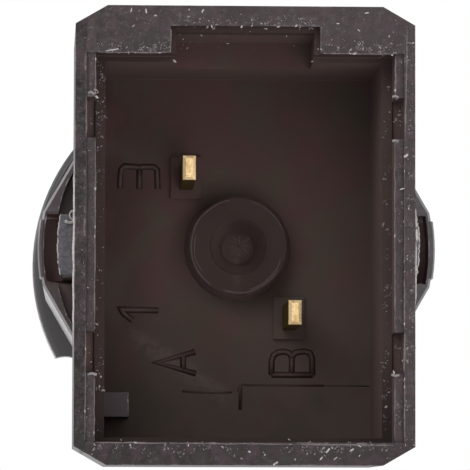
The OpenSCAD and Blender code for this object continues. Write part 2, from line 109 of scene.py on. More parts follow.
def srgb(r, g, b):
    """A colour given as 0 to 255, as linear RGBA."""
    def linear(v):
        v /= 255
        return v / 12.92 if v <= 0.04045 else ((v + 0.055) / 1.055) ** 2.4
    return (linear(r), linear(g), linear(b), 1.0)


def scaled(colour, share):
    """The same colour, darker by the given share."""
    return tuple(share * c for c in colour[:3]) + (1.0,)


# Materials
class Graph:
    """Builds one material's nodes with few words."""

    def __init__(self, name):
        self.material = bpy.data.materials.new(name)
        self.material.use_nodes = True
        self.tree = self.material.node_tree
        self.tree.nodes.clear()
        self.mm = self.millimetres()

    def add(self, kind, inputs=None, **settings):
        node = self.tree.nodes.new(kind)
        for key, value in settings.items():
            setattr(node, key, value)
        for key, value in (inputs or {}).items():
            self.feed(node.inputs[key], value)
        return node

    def feed(self, socket, value):
        if isinstance(value, bpy.types.NodeSocket):
            self.tree.links.new(value, socket)
        else:
            socket.default_value = value

    def millimetres(self, stretch=(1, 1, 1)):
        """Object coordinates in millimetres, stretched per axis."""
        coords = self.add("ShaderNodeTexCoord").outputs["Object"]
        scale = [s / MM for s in stretch]
        return self.add("ShaderNodeVectorMath", {0: coords, 1: scale}, operation="MULTIPLY").outputs[0]

    def noise(self, scale, detail=3.0, rough=0.55, vector=None):
        inputs = {"Vector": vector or self.mm, "Scale": scale, "Detail": detail, "Roughness": rough}
        return self.add("ShaderNodeTexNoise", inputs).outputs["Fac"]

    def math(self, operation, a, b=0.5):
        return self.add("ShaderNodeMath", {0: a, 1: b}, operation=operation).outputs[0]

    def total(self, first, *others):
        for other in others:
            first = self.math("ADD", first, other)
        return first

    def product(self, first, *others):
        for other in others:
            first = self.math("MULTIPLY", first, other)
        return first

    def other(self, value):
        return self.math("SUBTRACT", 1.0, value)

    def centred(self, value):
        return self.math("SUBTRACT", value, 0.5)

    def magnitude(self, value):
        return self.math("ABSOLUTE", value)

    def ramp(self, value, low, high, to_low=0.0, to_high=1.0):
        """Smooth step from low to high."""
        inputs = {"Value": value, "From Min": low, "From Max": high, "To Min": to_low, "To Max": to_high}
        return self.add("ShaderNodeMapRange", inputs, interpolation_type="SMOOTHSTEP").outputs["Result"]

    def within(self, value, none_below, low, high, none_above):
        """1 from low to high, falling smoothly to 0 at the outer two."""
        return self.product(self.ramp(value, none_below, low), self.ramp(value, none_above, high))

    def mix(self, share, a, b):
        node = self.add("ShaderNodeMix", data_type="RGBA")
        for name, value in (("Factor", share), ("A", a), ("B", b)):
            kind = "VALUE" if name == "Factor" else "RGBA"
            self.feed([s for s in node.inputs if s.name == name and s.type == kind][0], value)
        return [s for s in node.outputs if s.type == "RGBA"][0]

    def paint(self, colour, coat, *shares):
        """The colour under a coat of another one, as thick as the product of the shares."""
        return self.mix(self.product(*shares), colour, coat)

    def split(self, vector):
        return self.add("ShaderNodeSeparateXYZ", {0: vector}).outputs

    def normal(self):
        return self.split(self.add("ShaderNodeNewGeometry").outputs["Normal"])

    def bump(self, height, strength, distance):
        inputs = {"Height": height, "Strength": strength, "Distance": distance * MM}
        return self.add("ShaderNodeBump", inputs).outputs[0]

    def principled(self, **inputs):
        """Principled surface; an underscore in a keyword stands for a space."""
        named = {key.replace("_", " "): value for key, value in inputs.items()}
        return self.finish(self.add("ShaderNodeBsdfPrincipled", named).outputs[0])

    def finish(self, shader):
        out = self.add("ShaderNodeOutputMaterial")
        self.tree.links.new(shader, out.inputs["Surface"])
        return self.material


class Spot:
    """Where a shaded point lies on the switch, in millimetres, and which way its surface faces.

    reach is its distance from the axis, and toward is 1 where the surface faces the mouth.
    """

    def __init__(self, g):
        place = g.split(g.mm)
        self.x, self.up = place["X"], place["Z"]
        self.depth = g.product(place["Y"], -1.0)
        self.reach = g.math("SQRT", g.total(g.product(self.x, self.x), g.product(self.up, self.up)))
        self.normal = g.normal()
        self.toward = g.product(self.normal["Y"], -1.0)


def worn_and_glinting_edges(g, reach, amount):
    """Share of whitening on convex edges, in broken stretches: partly wear, partly a painted highlight of
    edges catching light.
    """
    inside = g.add("ShaderNodeAmbientOcclusion", {"Distance": reach * MM}, inside=True, samples=8)
    edge = g.ramp(inside.outputs["AO"], 0.55, 0.95, 1.0, 0.0)
    broken = g.ramp(g.noise(0.9, 4, 0.75), 0.5, 0.66)
    return g.product(edge, broken, amount)


def rim_colour(g, spot, cloud, mottle, grain, side):
    """The rim: painted light and shade, paler right and top, darker left and bottom; blotchy, pale grain
    and smudges.
    """
    # painted light: the rim paler to the right and at the top, as if lit from the upper right
    rim = g.mix(g.ramp(spot.x, -10.5, 10.0), srgb(28, 22, 22), srgb(50, 42, 42))
    rim = g.paint(rim, srgb(58, 50, 50), g.ramp(spot.up, 9.0, 12.5), 0.5)
    # painted shade: the rim's outer strip on the left darker still
    shaded_left_wall = g.ramp(spot.x, -9.35, -9.5)
    left_rib = g.within(spot.x, -9.4, -9.3, -8.9, -8.8)
    rim = g.paint(rim, srgb(14, 9, 9), shaded_left_wall, 0.6)
    rim = g.paint(rim, srgb(62, 54, 54), left_rib, 0.5)
    blotch = g.ramp(g.noise(0.9, 5, 0.75), 0.42, 0.62)
    rim = g.paint(rim, srgb(66, 58, 58), blotch, 0.4)
    pale = g.ramp(g.total(g.product(mottle, 0.6), g.product(grain, 0.5)), 0.52, 0.74)
    rim = g.paint(rim, srgb(98, 90, 92), pale, 0.45)
    rim = g.paint(rim, srgb(40, 32, 31), g.ramp(cloud, 0.5, 0.75), 0.4)
    # painted shade: the rim darker at the bottom
    rim = g.paint(rim, srgb(36, 30, 31), g.ramp(spot.up, -11.5, -12.5), 0.6)
    smudge = g.ramp(g.noise(1.7, 5, 0.8), 0.55, 0.68)
    rim = g.paint(rim, srgb(104, 95, 98), smudge, 0.35)
    tint = g.noise(1.0, 3)
    rim = g.paint(rim, srgb(70, 54, 63), g.ramp(tint, 0.5, 0.62), 0.35)
    rim = g.paint(rim, srgb(52, 55, 52), g.ramp(tint, 0.5, 0.4), 0.2)
    # painted highlight: the side of the step between rim and rib on the left, paler as an edge catching
    # light
    step = g.product(g.ramp(spot.depth, RIB_FACE - 0.02, RIB_FACE + 0.02), g.ramp(spot.x, -8.0, -8.5))
    return g.paint(rim, srgb(120, 110, 110), side, step)


def floor_colour(g, spot, cloud, mottle):
    """The socket's floor: clouded, darker to the left, with a painted sheen band below the middle."""
    floor = g.mix(g.ramp(spot.up, 2.0, -9.0), srgb(75, 57, 55), srgb(78, 68, 63))
    floor = g.mix(g.ramp(spot.x, -4.5, -8.0, 0.0, 0.6), floor, srgb(58, 44, 42))
    floor = g.paint(floor, srgb(70, 63, 56), g.ramp(cloud, 0.45, 0.6), 0.7)
    floor = g.paint(floor, srgb(84, 58, 58), g.ramp(g.noise(0.35, 3), 0.52, 0.66), 0.35)
    # painted reflection: a pale sheen band across the floor below the middle
    off_sheen_band = g.magnitude(g.total(g.product(spot.x, 0.54), g.product(spot.up, 0.84), 8.12))
    sheen_band = g.product(g.ramp(off_sheen_band, 0.9, 0.1), g.within(spot.x, -7.5, -5.5, -1.5, 0.5))
    return g.paint(floor, srgb(96, 86, 82), sheen_band, g.ramp(mottle, 0.35, 0.6), 0.6)


def wall_colour(g, spot):
    """The socket's walls: painted light, paler to the right and under the top, and a painted shadow at the
    top's mouth.
    """
    # painted light: the walls paler than the floor and paler to the right
    walls = g.mix(g.ramp(spot.x, 6.0, 8.0), srgb(80, 65, 62), srgb(92, 76, 72))
    ceiling = g.ramp(spot.normal["Z"], -0.3, -0.8)
    # painted light: the ceiling paler, as if lit from below
    walls = g.mix(ceiling, walls, srgb(88, 71, 68))
    # painted shadow: the ceiling dark near the mouth, between the lining and the rim
    return g.paint(walls, srgb(58, 44, 42), ceiling, g.ramp(spot.depth, LINING + 0.1, LINING + 0.9))


def recess_colour(g, spot, pit, facing, mottle):
    """The pit's colour with the boss's end, its recess, a painted shadow on its right side and a pale drip
    below.
    """
    in_recess = g.ramp(spot.depth, BOSS_TOP + 0.5, BOSS_TOP - 0.05)
    boss_level = g.within(spot.depth, FLOOR + 0.1, FLOOR + 0.15, BOSS_TOP + 0.2, BOSS_TOP + 0.3)
    pit = g.paint(pit, srgb(57, 46, 44), g.ramp(spot.reach, BOSS_R + 0.2, BOSS_R + 0.1), boss_level, facing)
    bowl = g.mix(facing, srgb(74, 60, 57), srgb(64, 52, 50))
    pit = g.paint(pit, bowl, g.ramp(spot.reach, RECESS_R + 0.1, RECESS_R - 0.05), in_recess)
    waver = g.product(g.centred(g.noise(1.1, 4, 0.7)), 2.4)
    # painted shadow: the recess darker on its right and upper side, where its wall shades it
    recess_shadow = g.ramp(g.total(spot.x, g.product(spot.up, 0.4), waver), -0.9, 0.9)
    inside = g.ramp(g.total(spot.reach, g.product(waver, 0.4)), 2.2, 1.5)
    pit = g.paint(pit, srgb(48, 32, 31), recess_shadow, inside, g.ramp(spot.reach, 0.4, 0.9), in_recess, 0.6)
    drip = g.product(g.ramp(g.magnitude(g.total(spot.x, 0.09)), 0.4, 0.0), g.ramp(spot.reach, 2.9, 1.8))
    return g.paint(pit, srgb(88, 77, 71), drip, g.ramp(spot.up, 0.3, -0.3), g.ramp(mottle, 0.3, 0.6), 0.35)


def pit_colour(g, spot, cloud, mottle, drawn, facing, inner):
    """All that lies inside the socket: floor, walls, thicker lining, rib pockets, key block and boss."""
    side = g.other(facing)
    pit = g.mix(facing, wall_colour(g, spot), floor_colour(g, spot, cloud, mottle))
    # painted shade: the lining's front faces dark beside the walls, lighter to the right and darker at the
    # bottom
    lining = g.mix(g.ramp(spot.x, -8.0, 8.0), srgb(56, 44, 42), srgb(66, 54, 51))
    lining = g.mix(g.ramp(spot.up, -6.0, -11.0), lining, srgb(50, 41, 38))
    pit = g.paint(pit, lining, facing, g.ramp(spot.depth, LINING - 2.0, LINING - 0.5))
    pit = g.paint(pit, srgb(84, 69, 66), g.ramp(g.magnitude(spot.x), 8.9, 9.0), inner)
    key_corner = g.product(g.ramp(spot.x, -6.5, -6.7), g.ramp(spot.up, -8.0, -8.5))
    key_level = g.within(spot.depth, KEY_FACE - 5.0, KEY_FACE - 3.0, KEY_FACE + 0.5, KEY_FACE + 1.0)
    pit = g.paint(pit, srgb(66, 58, 61), key_corner, key_level)
    pit = recess_colour(g, spot, pit, facing, mottle)
    # painted light: small side faces near the floor, such as pads and shelf edges, paler to take out their
    # shade
    off_boss = g.ramp(spot.reach, BOSS_FOOT_R + 0.2, BOSS_FOOT_R + 0.3)
    pit = g.paint(pit, srgb(104, 84, 80), side, g.ramp(spot.depth, FLOOR + 0.6, FLOOR + 0.4), off_boss)
    return g.paint(pit, srgb(84, 72, 70), g.ramp(drawn, 0.5, 0.8), side, 0.3)


def shroud_plastic():
    """Dark brownish moulding, paler and dusty on its rim, plain and darker inside the socket."""
    g = Graph("shroud_plastic_look")
    spot = Spot(g)
    cloud = g.noise(0.22, 2)
    mottle = g.noise(2.6, 6, 0.7)
    grain = g.noise(9.0, 4, 0.65)
    drawn = g.noise(1.0, 4, 0.6, vector=g.millimetres((6, 0.5, 6)))

    facing = g.ramp(spot.toward, 0.5, 0.9)
    side = g.other(facing)
    across = g.ramp(g.magnitude(spot.x), 9.8, 9.6)
    along = g.ramp(g.magnitude(spot.up), 12.9, 12.7)
    inner = g.product(across, along, g.ramp(spot.depth, RIB_FACE - 0.1, RIB_FACE - 0.6))
    flank = g.product(g.math("MAXIMUM", g.other(across), g.other(along)), side)

    rim = rim_colour(g, spot, cloud, mottle, grain, side)
    colour = g.mix(inner, rim, pit_colour(g, spot, cloud, mottle, drawn, facing, inner))
    backward = g.ramp(spot.toward, -0.3, -0.7)
    colour = g.paint(colour, srgb(50, 43, 43), backward, g.ramp(spot.depth, HEX_END + 0.5, HEX_END + 0.3))
    in_casing = g.ramp(spot.depth, HEX_END - 0.1, HEX_END - 0.4)
    colour = g.mix(in_casing, colour, srgb(116, 92, 90))
    # painted light: the boss's side paler to take out its shade
    boss_side = g.within(spot.reach, BOSS_R - 0.1, BOSS_R, BOSS_FOOT_R + 0.1, BOSS_FOOT_R + 0.3)
    colour = g.paint(colour, srgb(96, 80, 77), boss_side, side)
    # convex edges whitened: wear and painted highlight, not inside the socket
    colour = g.paint(colour, srgb(150, 140, 140), worn_and_glinting_edges(g, 0.1, 0.4), g.other(inner))

    rough = g.total(0.45, g.product(inner, 0.5), g.product(g.centred(mottle), 0.2))
    relief = g.total(g.product(grain, 0.5), g.product(drawn, side, 0.8), g.product(mottle, 1.2))
    return g.principled(
        Base_Color=colour, Roughness=rough, Specular_IOR_Level=0.2,
        Normal=g.bump(relief, g.product(g.other(flank), 0.5), 0.02),
    )


def casing_plastic():
    """Greyer and glossier moulding of the hexagonal casing, brown in the slots of its end."""
    g = Graph("casing_plastic_look")
    spot = Spot(g)
    mottle = g.noise(2.2, 5, 0.65)
    grain = g.noise(12.0, 3, 0.6)
    drawn = g.noise(1.0, 4, 0.6, vector=g.millimetres((5, 0.4, 5)))
    facing = g.ramp(g.magnitude(spot.toward), 0.5, 0.9)
    flange = g.ramp(spot.depth, 6.0, 3.0)
    end_face = g.product(facing, g.ramp(spot.depth, HEX_END - 0.5, HEX_END - 0.1))

    colour = g.mix(g.ramp(mottle, 0.35, 0.7), srgb(76, 71, 74), srgb(90, 85, 88))
    # painted shade: the flange's face darker, as it lies behind the hexagon
    colour = g.paint(colour, srgb(66, 64, 65), flange, facing)
    colour = g.paint(colour, srgb(122, 118, 122), g.ramp(drawn, 0.5, 0.8), g.other(facing), 0.3)

    # the moat and the windows under the straps, seen from inside only; their side faces painted paler to
    # take out their shade
    outward = g.total(g.product(spot.x, spot.normal["X"]), g.product(spot.up, spot.normal["Z"]))
    slot = g.product(g.ramp(spot.reach, 12.1, 12.0), g.ramp(outward, 3.0, 1.0))
    slot_level = g.within(spot.depth, HEX_END - 5.5, HEX_END - 5.1, HEX_END - 0.6, HEX_END - 0.2)
    colour = g.paint(colour, g.mix(facing, srgb(106, 85, 82), srgb(98, 78, 76)), slot, slot_level)

    # the hexagon's end face, lower and upper left, the flange behind the upper left in painted shade, and
    # the right flank
    left = g.ramp(spot.x, -6.0, -8.0)
    low_left = g.product(left, g.ramp(spot.up, -1.0, -2.2), end_face)
    colour = g.paint(colour, srgb(64, 55, 52), low_left, g.ramp(mottle, 0.25, 0.6, 0.5, 1.0))
    brown = g.mix(g.ramp(mottle, 0.35, 0.65), srgb(82, 72, 76), srgb(74, 62, 65))
    colour = g.paint(colour, brown, left, g.ramp(spot.up, 2.2, 2.8), end_face)
    # painted shade: the flange behind the upper left darker still
    high_left = g.product(g.ramp(spot.x, -5.0, -7.0), g.ramp(spot.up, 2.5, 5.0))
    colour = g.paint(colour, srgb(40, 39, 40), high_left, flange, 0.8)
    right_flank = g.product(g.ramp(spot.x, 9.0, 10.0), g.ramp(spot.depth, 15.0, 16.0))
    colour = g.paint(colour, srgb(24, 21, 21), right_flank, 0.2)

    # the left strap's end in painted shade, and the chamfer round the hexagon painted pale as a highlight
    # painted shade: the left strap's end face brown, as in shadow
    strap = g.product(g.ramp(spot.x, -11.0, -11.5), g.ramp(g.magnitude(spot.up), 2.4, 2.2))
    strap_end = g.product(g.ramp(spot.reach, 12.2, 12.15), g.ramp(spot.depth, HEX_END - 1.0, HEX_END - 0.5))
    colour = g.paint(colour, srgb(60, 45, 43), strap, strap_end, facing)
    # painted highlight: the chamfer paler, as an edge catching light
    chamfer = g.product(g.within(spot.toward, 0.4, 0.6, 0.8, 0.95), g.ramp(spot.reach, 11.4, 11.6))
    colour = g.paint(colour, srgb(118, 114, 116), chamfer, g.ramp(spot.depth, HEX_END - 0.3, HEX_END - 0.2))
    # convex edges whitened strongly: wear and painted highlight
    colour = g.mix(worn_and_glinting_edges(g, 0.12, 0.7), colour, srgb(190, 186, 188))

    rough = g.total(0.32, g.product(g.centred(mottle), 0.2))
    relief = g.total(g.product(grain, 0.4), g.product(drawn, 0.6))
    return g.principled(
        Base_Color=colour, Roughness=rough, Specular_IOR_Level=0.35, Normal=g.bump(relief, 0.35, 0.015),
    )


def metal(name, base, dark, roughness, brushed=(1, 12, 1), painted_dark_sides=False):
    """Stamped or drawn metal with fine lines and slight tarnish.

    With painted_dark_sides its sides are painted dark as a reflection of the dark socket, so it is bright
    only on its sheared end, which is spotted.
    """
    g = Graph(name)
    lines = g.noise(3.0, 4, 0.6, vector=g.millimetres(brushed))
    tarnish = g.ramp(g.noise(1.4, 4), 0.5, 0.75)
    pits = g.ramp(g.noise(13.0, 3, 0.7), 0.52, 0.64)
    colour = g.paint(base, dark, tarnish, 0.5)
    colour = g.paint(colour, dark, pits, 0.5)
    if painted_dark_sides:
        toward = g.product(g.normal()["Y"], -1.0)
        spots = g.ramp(g.noise(5.0, 4, 0.75), 0.4, 0.66, 0.22, 0.75)
        colour = g.paint(colour, dark, g.ramp(toward, 0.92, 0.98), spots)
        # painted reflection: the sides darkened as if they mirror the dark socket
        colour = g.mix(g.ramp(toward, 0.35, 0.75), scaled(dark, 0.25), colour)
    rough = g.total(roughness, g.product(lines, 0.2))
    return g.principled(Base_Color=colour, Metallic=1.0, Roughness=rough, Normal=g.bump(lines, 0.3, 0.01))


def acetal(name, base, dark):
    """Natural acetal: off-white, smooth, a little translucent."""
    g = Graph(name)
    grain = g.noise(16.0, 2)
    smudge = g.ramp(g.noise(1.7, 5, 0.65), 0.58, 0.75)
    colour = g.mix(g.noise(0.8, 3), base, scaled(base, 0.9))
    colour = g.paint(colour, dark, smudge, 0.35)
    return g.principled(
        Base_Color=colour, Roughness=g.ramp(grain, 0.3, 0.7, 0.3, 0.42), Subsurface_Weight=0.15,
        Subsurface_Scale=0.6 * MM, Normal=g.bump(grain, 0.25, 0.01),
    )


def speckled(name, base, low):
    """Plain rough surface with a cloudy colour, for flash, dust and the moulded marks."""
    g = Graph(name)
    colour = g.mix(g.ramp(g.noise(5.0, 4, 0.7), 0.35, 0.65), base, scaled(base, low))
    return g.principled(Base_Color=colour, Roughness=0.6, Specular_IOR_Level=0.2)


# Finish of each material slot of the record
MATERIALS = {
    "shroud_plastic": shroud_plastic(),
    "casing_plastic": casing_plastic(),
    "slider_plastic": acetal("slider_plastic_look", srgb(236, 233, 222), srgb(172, 166, 152)),
    "blade_brass": metal(
        "blade_brass_look", srgb(240, 216, 172), srgb(168, 140, 88), 0.58, painted_dark_sides=True
    ),
    "bridge_copper": metal("bridge_copper_look", srgb(205, 146, 104), srgb(150, 92, 60), 0.3),
    "contact_silver": metal("contact_silver_look", srgb(214, 212, 205), srgb(150, 148, 140), 0.25),
    "spring_steel": metal(
        "spring_steel_look", srgb(188, 190, 194), srgb(120, 120, 122), 0.25, brushed=(3, 3, 3)
    ),
}

# Finishes of the small pieces made here
# the flash colour also paints the highlight on the key block's edge
FLASH_AND_GLINT = speckled("whitened_flash_and_glint", srgb(112, 102, 102), 0.6)
# the dust colour also paints the glint beads on the rim's outer edges
DUST_AND_GLINT = speckled("dust_and_glint", srgb(176, 171, 169), 0.7)
DULL_DUST = speckled("dull_dust", srgb(104, 96, 97), 0.6)
GREY_DUST = speckled("grey_dust", srgb(140, 133, 133), 0.6)
MARK_CREST = speckled("mark_crest", srgb(70, 56, 53), 0.8)
MARK_FLANK = speckled("mark_flank", srgb(50, 37, 35), 0.8)
# rim colour for the threads that cover the shade line at the step
RIM_SHADE_COVER = speckled("rim_shade_cover", srgb(60, 51, 52), 0.7)
SCAR = speckled("gate_scar", srgb(80, 68, 64), 0.75)
# painted highlight of the boss's edge
BOSS_EDGE_GLINT = speckled("boss_edge_glint", srgb(84, 71, 69), 0.7)
# painted shadow along the edges of the floor's shelf
SHELF_SHADOW = speckled("shelf_shadow", srgb(60, 47, 44), 0.7)
TORN = speckled("torn_plastic", srgb(108, 104, 110), 0.62)

slots = {row["node"]: row["material_slot"] for row in frame["record"]["subparts"]}

# Radius of the softened edges of each rigid piece, in millimetres, and the least angle of such an edge
EDGE_RADIUS = {
    "connector_housing": 0.05, "switch_casing": 0.06, "terminal_a3": 0.04, "terminal_b1": 0.04,
    "contact_bridge": 0.04, "contact_carrier": 0.06, "lock_clip": 0.04,
}
SHARP_ANGLE = math.radians(40)
WELD_DISTANCE = 0.001 * MM


def soften(piece, radius):
    """Welds the imported faces and rounds the sharp edges by radius millimetres."""
    weld = piece.modifiers.new("weld", "WELD")
    weld.merge_threshold = WELD_DISTANCE
    bevel = piece.modifiers.new("bevel", "BEVEL")
    bevel.width = radius * MM
    bevel.segments = 2
    bevel.limit_method = "ANGLE"
    bevel.angle_limit = SHARP_ANGLE
    bevel.use_clamp_overlap = True
    weighted = piece.modifiers.new("normals", "WEIGHTED_NORMAL")
    weighted.keep_sharp = True


for node_name, node in nodes.items():
    node.data.materials.clear()
    node.data.materials.append(MATERIALS[slots[node_name]])
    if node_name in EDGE_RADIUS:
        soften(node, EDGE_RADIUS[node_name])


# Pieces made here
def make_piece(name, mesh, materials, body="switch_body"):
    """Puts a bmesh into the scene as a smooth piece that rides on a body."""
    bmesh.ops.recalc_face_normals(mesh, faces=mesh.faces)
    data = bpy.data.meshes.new(name)
    mesh.to_mesh(data)
    mesh.free()
    piece = bpy.data.objects.new(name, data)
    bpy.context.scene.collection.objects.link(piece)
    for material in materials:
        data.materials.append(material)
    for polygon in data.polygons:
        polygon.use_smooth = True
    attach(piece, body)
    return piece


def skin(mesh, rows, index=lambda row, side: 0):
    """Joins rows of vertices, each one a closed cross-section, into a capped solid."""
    count = len(rows[0])
    for i, (a, b) in enumerate(zip(rows, rows[1:])):
        for j in range(count):
            k = (j + 1) % count
            mesh.faces.new((a[j], a[k], b[k], b[j])).material_index = index(i, j)
    mesh.faces.new(rows[0])
    mesh.faces.new(list(reversed(rows[-1])))


def mitres(line):
    """For each point of a line, the unit sideways direction and its mitre stretch."""
    found = []
    for i, here in enumerate(line):
        runs = []
        if i:
            runs.append((here - line[i - 1]).normalized())
        if i < len(line) - 1:
            runs.append((line[i + 1] - here).normalized())
        along = sum(runs, Vector((0, 0))).normalized()
        across = Vector((-along.y, along.x))
        square = Vector((-runs[0].y, runs[0].x))
        found.append((across, 1 / max(0.5, abs(across.dot(square)))))
    return found


def add_ridge(mesh, line, depth, half_widths, heights, crest_from=math.inf):
    """A raised ridge along a line of (x, up) points.

    The faces of its cross-section from crest_from inwards get the second material, by default none.
    """
    line = [Vector(p) for p in line]
    section = list(zip(half_widths, heights))
    section += [(-w, h) for w, h in reversed(section)]
    last = len(section) - 1
    rows = []
    for here, (across, stretch) in zip(line, mitres(line)):
        rows.append([mesh.verts.new(point(*(here + across * w * stretch), depth + h)) for w, h in section])
    skin(mesh, rows, lambda row, side: 1 if crest_from <= side < last - crest_from else 0)


# Strokes of the cavity marks on the floor, as lines of (x, up) points, and the stroke's cross-section
MARKS = {
    "mark_three": [
        [(-7.3, 3.69), (-7.29, 4.33), (-7.24, 4.86), (-7.03, 5.07), (-6.37, 5.03), (-6.12, 4.96),
         (-5.88, 5.04), (-5.21, 5.04), (-5.0, 4.86), (-4.96, 3.66)],
        [(-6.1, 4.95), (-6.1, 3.68)],
    ],
    "mark_one": [[(-4.88, -3.9), (-7.18, -3.85), (-7.06, -4.09), (-6.49, -4.53)]],
    "mark_a": [[(-2.6, -6.46), (-4.96, -7.13), (-2.55, -7.82)], [(-3.34, -6.68), (-3.34, -7.59)]],
    "mark_b": [
        [(2.15, -7.87), (2.15, -7.05), (2.26, -6.67), (2.52, -6.49), (2.89, -6.42), (3.23, -6.5),
         (3.41, -6.74), (3.6, -6.49), (4.17, -6.4), (4.53, -6.49), (4.67, -6.82), (4.69, -7.86)],
        [(2.15, -7.87), (4.69, -7.87)],
        [(3.41, -6.74), (3.41, -7.82)],
    ],
}
MARK_HALF_WIDTHS = [0.22, 0.17, 0.09, 0.05]
MARK_HEIGHTS = [-0.02, 0.02, 0.12, 0.14]


def cavity_mark(name, lines):
    """One moulded mark on the socket floor: dark flanks and a flat crest."""
    mesh = bmesh.new()
    for line in lines:
        add_ridge(mesh, line, FLOOR, MARK_HALF_WIDTHS, MARK_HEIGHTS, 2)
    make_piece(name, mesh, [MARK_FLANK, MARK_CREST])


# Dark lines painted as shadows along the edges of the floor's raised shelf: line of (x, up) points, depth,
# half width
SHELF_SHADOW_LINES = [
    ([(0.15, -10.15), (0.15, -8.8), (0.24, -8.65), (0.5, -8.54)], FLOOR + 0.01, 0.16),
    ([(0.5, -8.54), (5.4, -8.55)], SHELF, 0.07),
    ([(5.4, -8.55), (8.2, -8.56)], SHELF, 0.04),
    ([(-3.4, -8.93), (-2.4, -9.0), (-1.2, -9.02), (-0.3, -8.97)], SHELF, 0.07),
]


def shelf_shadows():
    """Painted shadows: dark lines along the edges of the floor's raised shelf."""
    mesh = bmesh.new()
    for line, depth, half in SHELF_SHADOW_LINES:
        add_ridge(mesh, line, depth, [half, half * 0.7], [-0.02, 0.015])
    make_piece("shelf_shadows", mesh, [SHELF_SHADOW])


# Pale broken rings near the boss's edge, a painted highlight of that edge: radius, first and last angle
# in degrees, half width; and the angle between the points of an arc
BOSS_RINGS = [
    (2.92, 100, 235, 0.05), (2.86, 250, 330, 0.06), (2.72, 165, 215, 0.04), (2.74, 285, 345, 0.05),
    (2.9, 20, 75, 0.03),
]
ARC_STEP = 6


def boss_rings(seed=9):
    """Faint pale rings near the boss's edge, a painted highlight of that edge, in arcs that waver and fade.
    """
    rng = random.Random(seed)
    mesh = bmesh.new()
    for radius, first, last, half in BOSS_RINGS:
        phase = rng.uniform(0, 50)
        count = int((last - first) / ARC_STEP)
        angles = [math.radians(first + (last - first) * i / count) for i in range(count + 1)]
        line = []
        for angle in angles:
            waver = radius + 0.05 * noise.noise(Vector((phase, angle * 2.5, 0)))
            line.append((waver * math.cos(angle), waver * math.sin(angle)))
        add_ridge(mesh, line, BOSS_TOP, [half, half * 0.6], [-0.02, 0.02])
    make_piece("boss_rings", mesh, [BOSS_EDGE_GLINT])


# Threads of flash and painted glint: distance between the cross-sections of a thread, and the share of them
# that is bright
THREAD_STEP = 0.14
BRIGHT_SHARE = 0.03


def add_burr_and_glint(mesh, start, end, depth, width, rng):
    """A ragged thread along a straight edge, from start to end in (x, up), for flash, painted glints and
    covers over shade lines.
    """
    start, end = Vector(start), Vector(end)
    length = (end - start).length
    along = (end - start) / length
    across = Vector((-along.y, along.x))
    count = max(3, int(length / THREAD_STEP))
    seed = rng.uniform(0, 100)
    rows = []
    for i in range(count + 1):
        t = i / count
        swell = 0.7 + 0.7 * max(0.0, noise.noise(Vector((seed, t * length * 0.9, 0)))) + 0.2 * rng.random()
        swell *= min(1.0, 6 * t + 0.2, 6 * (1 - t) + 0.2)
        w = width * swell / 2
        drift = 0.03 * noise.noise(Vector((seed, t * length * 1.7, 9)))
        here = start.lerp(end, t) + across * drift
        places = ((here + across * w, -0.01), (here, 0.03 * swell), (here - across * w, -0.01))
        rows.append([mesh.verts.new(point(*p, depth + h)) for p, h in places])
    bright = [1 if rng.random() < BRIGHT_SHARE else 0 for _ in rows]
    skin(mesh, rows, lambda row, side: bright[row])


def add_fleck(mesh, x, up, depth, size, rng, grey=0.0):
    """A dust fleck: a small flat lump with a random outline, grey with the given chance."""
    lump = bmesh.ops.create_icosphere(mesh, subdivisions=1, radius=size * MM / 2)
    turn = Quaternion((0, 1, 0), rng.uniform(0, math.tau))
    stretch = Vector((rng.uniform(0.9, 2.2), 0.5, rng.uniform(0.45, 0.9)))
    index = 1 if rng.random() < grey else 0
    for vert in lump["verts"]:
        vert.co = turn @ (vert.co * rng.uniform(0.55, 1.25) * stretch) + point(x, up, depth)
        for face in vert.link_faces:
            face.material_index = index


# Flash threads along the edges of the socket, with one painted highlight on the key block's edge: (x, up)
# of start and end, depth, width
FLASH_AND_GLINT_LINES = [
    ((-8.9, 10.75), (-8.9, 8.3), RIB_FACE, 0.11),
    ((-8.87, 5.6), (-8.87, -5.6), RIB_FACE, 0.11),
    ((-8.87, -8.3), (-8.87, -12.2), RIB_FACE, 0.1),
    ((-9.42, 8.1), (-9.42, 5.7), RIM, 0.1),
    ((-9.4, -5.3), (-9.4, -12.2), RIM, 0.09),
    ((8.9, 10.7), (8.9, 8.3), RIB_FACE, 0.12),
    ((8.87, 5.7), (8.87, -5.7), RIB_FACE, 0.11),
    ((8.87, -8.3), (8.87, -12.2), RIB_FACE, 0.09),
    ((9.6, 12.3), (9.45, 5.7), RIM, 0.12),
    ((9.42, 5.3), (9.42, -2.4), RIM, 0.05),
    ((9.42, -2.4), (9.42, -5.6), RIM, 0.12),
    ((9.45, -5.7), (9.4, -8.1), RIM, 0.16),
    ((9.44, -8.3), (9.44, -12.2), RIM, 0.1),
    ((-8.8, -12.28), (-4.5, -12.32), RIM, 0.13),
    ((-4.4, -12.32), (3.2, -12.36), RIM, 0.1),
    ((3.3, -12.36), (8.8, -12.4), RIM, 0.15),
    ((-8.8, 10.78), (-4.6, 10.78), RIM, 0.1),
    ((4.6, 10.8), (8.8, 10.78), RIM, 0.1),
    # painted highlight: the key block's right edge catching light
    ((-6.84, -9.15), (-6.84, -10.5), KEY_FACE, 0.09),
    ((-4.44, 12.2), (-4.44, 10.9), RIM, 0.09),
    ((4.45, 12.3), (4.45, 10.9), RIM, 0.07),
]

